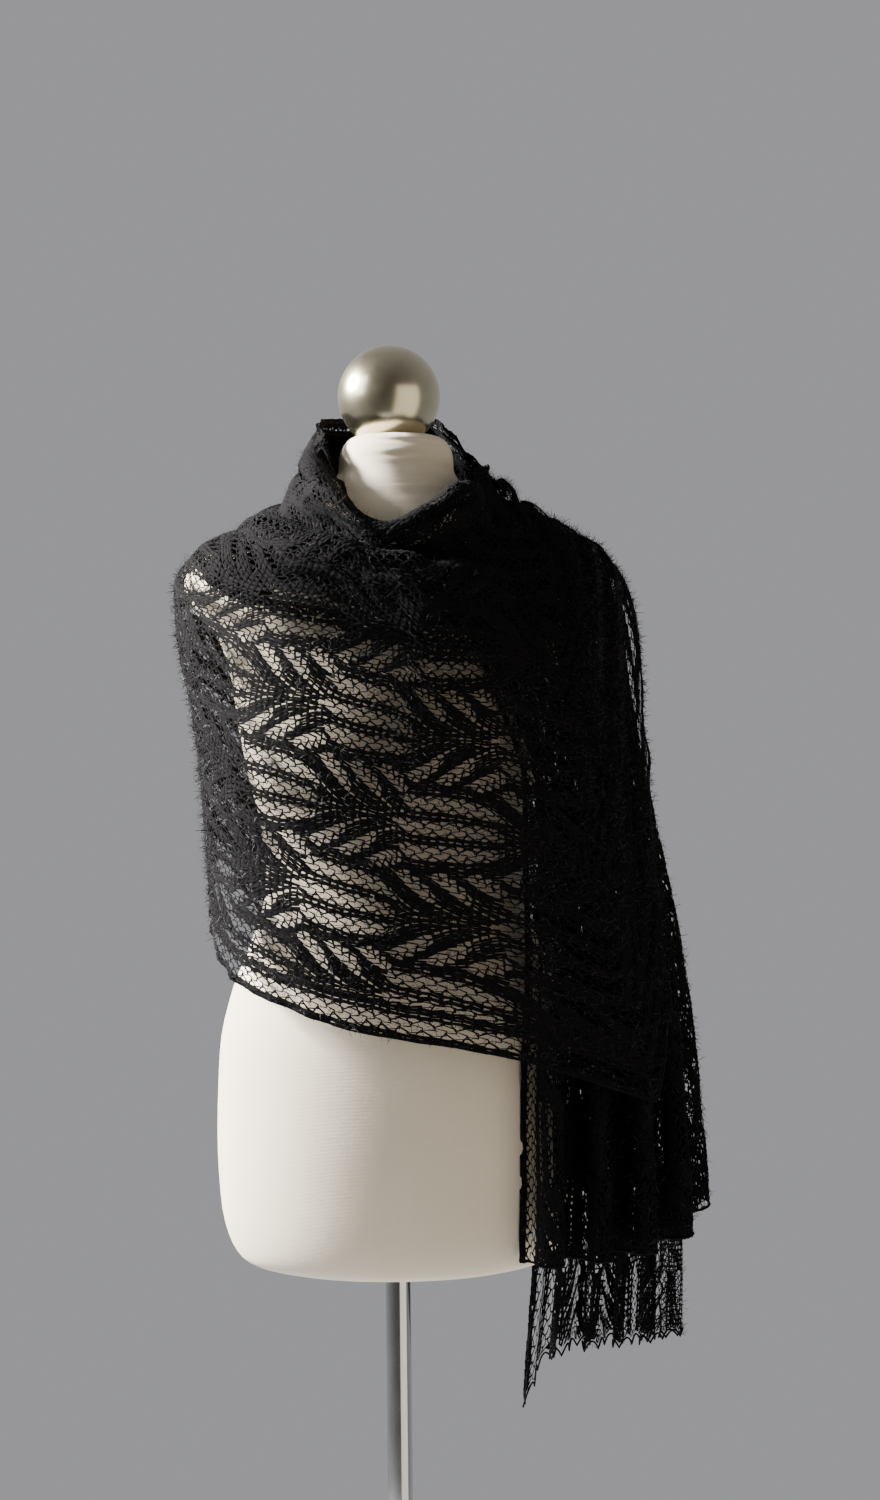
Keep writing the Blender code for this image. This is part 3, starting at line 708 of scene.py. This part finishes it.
def form_cover():
    """The jersey-covered torso and neck, finer than the solid, with the creases of the neck."""
    around, levels = 112, 120
    known = np.arange(len(FORM_RINGS), dtype=float)
    place = np.concatenate((np.linspace(0.0, 20.0, 70), np.linspace(20.0, 22.0, levels - 69)[1:]))
    height, half, front, back = (smooth_between(known, column(FORM_RINGS, k) / 1000, place) for k in (1, 2, 3, 4))
    angle = 2 * math.pi * np.arange(around) / around
    sine, cosine = np.sin(angle), np.cos(angle)
    deep = np.where(sine[None] < 0, front[:, None], back[:, None])
    z = np.broadcast_to(height[:, None], (levels, around))
    swell = np.ones((levels, around))
    facing = np.degrees(np.arctan2(cosine, -sine))
    for level, tilt, middle, reach, depth, spread in NECK_CREASES:
        off = (z - level - tilt * (facing[None] - middle) / 90 - 0.0012 * np.sin(5 * angle)[None]) / spread
        fade = np.exp(-((facing[None] - middle) / reach) ** 2)
        swell -= depth / 0.054 * fade * (np.exp(-off ** 2) - 0.6 * np.exp(-(off - 2.0) ** 2))
    cap = np.clip((z - (NECK_TOP - NECK_ROUND)) / NECK_ROUND, 0.0, 1.0)
    swell *= 1.0 - 0.34 * (1.0 - np.sqrt(1.0 - 0.98 * cap ** 2))
    gathers = np.sin(23 * angle)[None] * 0.5 + np.sin(37 * angle + 1.0)[None] * 0.35
    swell += 0.009 * gathers * np.exp(-((z - NECK_TOP + 0.0015) / 0.0035) ** 2)
    neck = np.clip((z - 1.40) / 0.05, 0.0, 1.0)
    x = half[:, None] * cosine[None] * swell * (1.0 - 0.03 * neck) + NECK_LEAN * neck
    y = deep * sine[None] * swell
    points = np.stack([x, y, z], axis=-1).reshape(-1, 3)
    quads, triangles = loft_faces(levels, around)
    points = np.concatenate((points, [[0.0, 0.0, height[0]], [0.0, 0.0, height[-1]]]))
    return built("form_cover", points, quads, triangles)


def loft_faces(levels, around):
    """Faces of stacked rings, closed by a fan at each end round two extra last points."""
    ring = np.arange(around)
    after = (ring + 1) % around
    quads = [np.stack([ring, after, after + around, ring + around], axis=1) + k * around
             for k in range(levels - 1)]
    low, high = levels * around, levels * around + 1
    top = (levels - 1) * around
    triangles = np.concatenate((np.stack([after, ring, np.full(around, low)], axis=1),
                                np.stack([ring + top, after + top, np.full(around, high)], axis=1)))
    return np.concatenate(quads), triangles


def turned(name, profile, around=96):
    """A turned solid from (radius, height) points that run from bottom to top."""
    angle = 2 * math.pi * np.arange(around) / around
    radius, height = np.array(profile).T
    points = np.stack([radius[:, None] * np.cos(angle), radius[:, None] * np.sin(angle),
                       np.broadcast_to(height[:, None], (len(radius), around))], axis=-1).reshape(-1, 3)
    quads, triangles = loft_faces(len(profile), around)
    points = np.concatenate((points, [[0.0, 0.0, height[0]], [0.0, 0.0, height[-1]]]))
    thing = built(name, points, quads, triangles)
    thing.data.set_sharp_from_angle(angle=math.radians(40))
    return thing


def rounded(corners, radius, steps=5):
    """The corners of a profile with each inner one rounded off."""
    corners = [np.array(corner) for corner in corners]
    out = [corners[0]]
    for before, corner, after in zip(corners[:-2], corners[1:-1], corners[2:]):
        a = corner + (before - corner) / np.linalg.norm(before - corner) * radius
        b = corner + (after - corner) / np.linalg.norm(after - corner) * radius
        for k in range(steps + 1):
            f = k / steps
            out.append((1 - f) ** 2 * a + 2 * f * (1 - f) * corner + f * f * b)
    return [tuple(point) for point in [*out, corners[-1]]]


def ball_finial():
    seat = NECK_TOP + SEAT_GAP
    low = math.acos((seat - BALL_CENTRE) / BALL_RADIUS)
    profile = [(BALL_RADIUS * math.sin(low * (1 - k / 60)), BALL_CENTRE + BALL_RADIUS * math.cos(low * (1 - k / 60)))
               for k in range(60)]
    return turned("ball_skin", profile)


def stand_pieces():
    low = BASE_THICKNESS + SEAT_GAP
    disc = turned("base_skin", rounded([(BASE_RADIUS - 0.002, 0.0), (BASE_RADIUS, 0.0),
                                        (BASE_RADIUS, BASE_THICKNESS), (0.001, BASE_THICKNESS)], 0.0012), 160)
    collar = turned("collar_skin", rounded([(COLLAR_RADIUS - 0.001, low), (COLLAR_RADIUS, low),
                                            (COLLAR_RADIUS, low + COLLAR_HEIGHT - 0.006),
                                            (COLLAR_RADIUS - 0.006, low + COLLAR_HEIGHT),
                                            (POLE_RADIUS, low + COLLAR_HEIGHT)], 0.0008))
    pole = turned("pole_skin", [(POLE_RADIUS, low), (POLE_RADIUS, FORM_BOTTOM - SEAT_GAP)], 64)
    return disc, collar, pole


def effect_group(name, inputs, outputs):
    """An empty shader node group with named number inputs and named outputs."""
    group = bpy.data.node_groups.new(name, "ShaderNodeTree")
    for title, value in inputs:
        socket = group.interface.new_socket(title, in_out="INPUT", socket_type="NodeSocketFloat")
        socket.default_value = value
    for title, kind in outputs:
        group.interface.new_socket(title, in_out="OUTPUT", socket_type=kind)
    return group, group.nodes.new("NodeGroupInput"), group.nodes.new("NodeGroupOutput")


def noise(tree, scale, detail=2.0, roughness=0.5):
    """A noise texture read in the object's own coordinates."""
    place = tree.nodes.new("ShaderNodeTexCoord")
    texture = tree.nodes.new("ShaderNodeTexNoise")
    texture.inputs["Detail"].default_value = detail
    texture.inputs["Roughness"].default_value = roughness
    tree.links.new(place.outputs["Object"], texture.inputs["Vector"])
    if isinstance(scale, float):
        texture.inputs["Scale"].default_value = scale
    else:
        tree.links.new(scale, texture.inputs["Scale"])
    return texture.outputs["Fac"]


def math_node(tree, kind, *values):
    node = tree.nodes.new("ShaderNodeMath")
    node.operation = kind
    for socket, value in zip(node.inputs, values):
        if isinstance(value, (int, float)):
            socket.default_value = value
        else:
            tree.links.new(value, socket)
    return node.outputs[0]


def mottle_group():
    """Uneven shade and relief: a value between two limits, and a height."""
    group, given, made = effect_group("mottle", [("Scale", 40.0), ("Low", 0.3), ("High", 0.5)],
                                      [("Value", "NodeSocketFloat"), ("Height", "NodeSocketFloat")])
    cloud = noise(group, given.outputs["Scale"], 4.0)
    span = math_node(group, "SUBTRACT", given.outputs["High"], given.outputs["Low"])
    value = math_node(group, "MULTIPLY_ADD", cloud, span, given.outputs["Low"])
    group.links.new(value, made.inputs["Value"])
    group.links.new(cloud, made.inputs["Height"])
    return group


def new_material(name, colour, roughness, metallic=0.0):
    material = bpy.data.materials.new(name)
    material.use_nodes = True
    shader = material.node_tree.nodes["Principled BSDF"]
    shader.inputs["Base Color"].default_value = (*colour, 1.0)
    shader.inputs["Roughness"].default_value = roughness
    shader.inputs["Metallic"].default_value = metallic
    return material, material.node_tree, shader


def add_effect(tree, group, **values):
    node = tree.nodes.new("ShaderNodeGroup")
    node.node_tree = group
    for title, value in values.items():
        node.inputs[title].default_value = value
    return node


def two_tone(tree, factor, dark, light):
    """A colour between two, by a factor."""
    mix = tree.nodes.new("ShaderNodeMix")
    mix.data_type = "RGBA"
    mix.inputs["A"].default_value = (*dark, 1.0)
    mix.inputs["B"].default_value = (*light, 1.0)
    tree.links.new(factor, mix.inputs["Factor"])
    return mix.outputs["Result"]


def raise_surface(tree, shader, height, distance, strength=1.0):
    bump = tree.nodes.new("ShaderNodeBump")
    bump.inputs["Distance"].default_value = distance
    bump.inputs["Strength"].default_value = strength
    tree.links.new(height, bump.inputs["Height"])
    tree.links.new(bump.outputs["Normal"], shader.inputs["Normal"])


def black_mohair(mottle):
    """Fine black yarn whose nap catches a cool grey light."""
    material, tree, shader = new_material("black_mohair", (0.010, 0.010, 0.012), 0.85)
    shader.inputs["Sheen Weight"].default_value = 0.010
    shader.inputs["Specular IOR Level"].default_value = 0.045
    shader.inputs["Sheen Roughness"].default_value = 0.45
    shader.inputs["Sheen Tint"].default_value = (0.62, 0.66, 0.76, 1.0)
    shade = add_effect(tree, mottle, Scale=320.0, Low=0.0, High=1.0)
    tree.links.new(two_tone(tree, shade.outputs["Value"], (0.0032, 0.0031, 0.0033), (0.0104, 0.0098, 0.0105)),
                   shader.inputs["Base Color"])
    raise_surface(tree, shader, shade.outputs["Height"], 0.0003)
    return material


def halo_painted_sheen(mottle):
    """The loose hairs, coloured lighter than the yarn: a painted sheen for the light that passes round them."""
    material, tree, shader = new_material("mohair_hair", (0.05, 0.05, 0.06), 0.6)
    shader.inputs["Sheen Weight"].default_value = 0.04
    shader.inputs["Sheen Roughness"].default_value = 0.4
    shader.inputs["Specular IOR Level"].default_value = 0.2
    shader.inputs["Sheen Tint"].default_value = (0.7, 0.74, 0.82, 1.0)
    shade = add_effect(tree, mottle, Scale=90.0, Low=0.0, High=1.0)
    # Painted sheen: both hair colours are set above the yarn's to stand in for light passing round the hairs
    tree.links.new(two_tone(tree, shade.outputs["Value"], (0.006, 0.006, 0.0066), (0.034, 0.032, 0.035)),
                   shader.inputs["Base Color"])
    return material


def cream_jersey(mottle):
    """Fine knitted jersey, pulled smooth over the form."""
    material, tree, shader = new_material("cream_jersey", (0.80, 0.74, 0.62), 0.85)
    shader.inputs["Sheen Weight"].default_value = 0.15
    shader.inputs["Sheen Roughness"].default_value = 0.6
    shade = add_effect(tree, mottle, Scale=14.0, Low=0.0, High=1.0)
    tree.links.new(two_tone(tree, shade.outputs["Value"], (0.76, 0.67, 0.52), (0.83, 0.75, 0.60)),
                   shader.inputs["Base Color"])
    place = tree.nodes.new("ShaderNodeTexCoord")
    ribs = tree.nodes.new("ShaderNodeTexWave")
    ribs.bands_direction = "Z"
    ribs.inputs["Scale"].default_value = 260.0
    ribs.inputs["Distortion"].default_value = 1.5
    tree.links.new(place.outputs["Object"], ribs.inputs["Vector"])
    grain = noise(tree, 900.0, 2.0)
    weave = math_node(tree, "MULTIPLY_ADD", ribs.outputs["Fac"], 0.5, grain)
    raise_surface(tree, shader, weave, 0.0002, 0.5)
    return material


def metal(name, mottle, dark, light, low, high, scale):
    material, tree, shader = new_material(name, light, low, 1.0)
    shade = add_effect(tree, mottle, Scale=scale, Low=low, High=high)
    tree.links.new(shade.outputs["Value"], shader.inputs["Roughness"])
    tree.links.new(two_tone(tree, shade.outputs["Height"], dark, light), shader.inputs["Base Color"])
    raise_surface(tree, shader, shade.outputs["Height"], 0.00005, 0.4)
    return material


def plain_floor():
    """A pale round floor under the stand."""
    around = 128
    angle = 2 * math.pi * np.arange(around) / around
    rim = np.stack([1.55 * np.cos(angle), 1.55 * np.sin(angle), np.zeros(around)], axis=1)
    points = np.concatenate((rim, [[0.0, 0.0, 0.0]]))
    ring = np.arange(around)
    triangles = np.stack([ring, (ring + 1) % around, np.full(around, around)], axis=1)
    floor = built("floor", points, np.zeros((0, 4), dtype=int), triangles)
    material, _, _ = new_material("pale_floor", (0.27, 0.27, 0.28), 0.9)
    floor.data.materials.append(material)


def soft_light(name, place, target, size, power, colour):
    lamp = bpy.data.lights.new(name, "AREA")
    lamp.shape = "RECTANGLE"
    lamp.size, lamp.size_y = size, 1.4 * size
    lamp.energy = power
    lamp.color = colour
    thing = bpy.data.objects.new(name, lamp)
    thing.location = place
    thing.rotation_mode = "QUATERNION"
    thing.rotation_quaternion = (Vector(target) - Vector(place)).to_track_quat("-Z", "Y")
    bpy.context.scene.collection.objects.link(thing)


def studio():
    """A pale surround; what lights the piece is darker behind the camera than towards the wall."""
    world = bpy.data.worlds.new("studio")
    world.use_nodes = True
    tree = world.node_tree
    seen, given = tree.nodes["Background"], tree.nodes.new("ShaderNodeBackground")
    seen.inputs["Color"].default_value = (0.335, 0.335, 0.350, 1.0)
    place = tree.nodes.new("ShaderNodeTexCoord")
    split = tree.nodes.new("ShaderNodeSeparateXYZ")
    tree.links.new(place.outputs["Generated"], split.inputs[0])
    toward_wall = math_node(tree, "MULTIPLY_ADD", split.outputs["Y"], 0.5, 0.5)
    tree.links.new(two_tone(tree, toward_wall, ROOM_SHADE, WALL_SHADE), given.inputs["Color"])
    path, mix = tree.nodes.new("ShaderNodeLightPath"), tree.nodes.new("ShaderNodeMixShader")
    tree.links.new(path.outputs["Is Camera Ray"], mix.inputs[0])
    tree.links.new(given.outputs[0], mix.inputs[1])
    tree.links.new(seen.outputs[0], mix.inputs[2])
    tree.links.new(mix.outputs[0], tree.nodes["World Output"].inputs["Surface"])
    bpy.context.scene.world = world
    soft_light("window", (-2.85, 0.22, 2.72), (0.0, 0.0, 1.15), 0.50, 1050.0, (1.0, 0.97, 0.93))
    soft_light("sky", (-3.05, -1.05, 2.65), (0.0, 0.0, 1.3), 1.5, 45.0, (0.93, 0.97, 1.0))
    soft_light("room", (2.3, -2.3, 0.35), (0.0, 0.0, 1.2), 3.6, 62.0, (1.0, 0.88, 0.74))
    plain_floor()


def photo_camera():
    """The photo's view: level, from 2.3 m in front, its frame leaning a little to the left."""
    lens = bpy.data.cameras.new("camera")
    lens.lens = 59.4
    lens.sensor_width = 36.0
    camera = bpy.data.objects.new("camera", lens)
    camera.location = (0.044, -2.3, 1.196)
    camera.rotation_mode = "QUATERNION"
    camera.rotation_quaternion = (Quaternion((1, 0, 0), math.radians(90))
                                  @ Quaternion((0, 0, 1), math.radians(-0.6)))
    bpy.context.scene.collection.objects.link(camera)
    bpy.context.scene.camera = camera


def dress(piece, material, slot, *nodes):
    piece.data.materials.append(material)
    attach(piece, "root")
    if nodes:
        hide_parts(*nodes)


def main():
    photo_camera()
    studio()
    mottle = mottle_group()
    cloth = Cloth()
    rows = knitted_rows()
    parents = parents_of(rows)
    height = cloth.length / (REPEATS_ALONG * len(rows))
    heads = settled_stitches(rows, parents, STOLE_WIDTH / len(rows[0]), height)
    paths = yarn_paths(rows, parents, heads, height)
    yarn = black_mohair(mottle)
    for name, first, last, under, _, thickness in STRETCHES:
        start, end = cloth.place_of(first), cloth.place_of(last)
        piece = knit_stretch(cloth, name.replace("shawl", "lace"), start, end, paths, height, thickness)
        dress(piece, yarn, "black_lace", name)
    start, end = cloth.place_of(COWL_ENDS[0]), cloth.place_of(COWL_ENDS[-1])
    turn = hidden_layer(cloth, "lace_inner_turn", start, end, paths, height, cowl_share, TURN_DEPTH)
    dress(turn, yarn, "black_lace")
    start, end = cloth.place_of("near hem"), cloth.place_of("near waist")
    pleats = hidden_layer(cloth, "lace_inner_pleats", start, end, paths, height, pleat_share, PLEAT_DEPTH)
    dress(pleats, yarn, "black_lace")
    halo = mohair_halo(cloth, np.random.default_rng(7), 60000)
    dress(halo, halo_painted_sheen(mottle), "black_lace")
    dress(form_cover(), cream_jersey(mottle), "cream_jersey", "dress_form")
    satin = metal("satin_nickel", mottle, (0.58, 0.53, 0.38), (0.72, 0.67, 0.50), 0.20, 0.28, 60.0)
    chrome = metal("polished_chrome", mottle, (0.66, 0.67, 0.69), (0.74, 0.75, 0.77), 0.10, 0.18, 25.0)
    dress(ball_finial(), satin, "satin_nickel", "ball_finial")
    for piece, node in zip(stand_pieces(), ("base_disc", "base_collar", "pole")):
        dress(piece, chrome, "polished_chrome", node)


main()
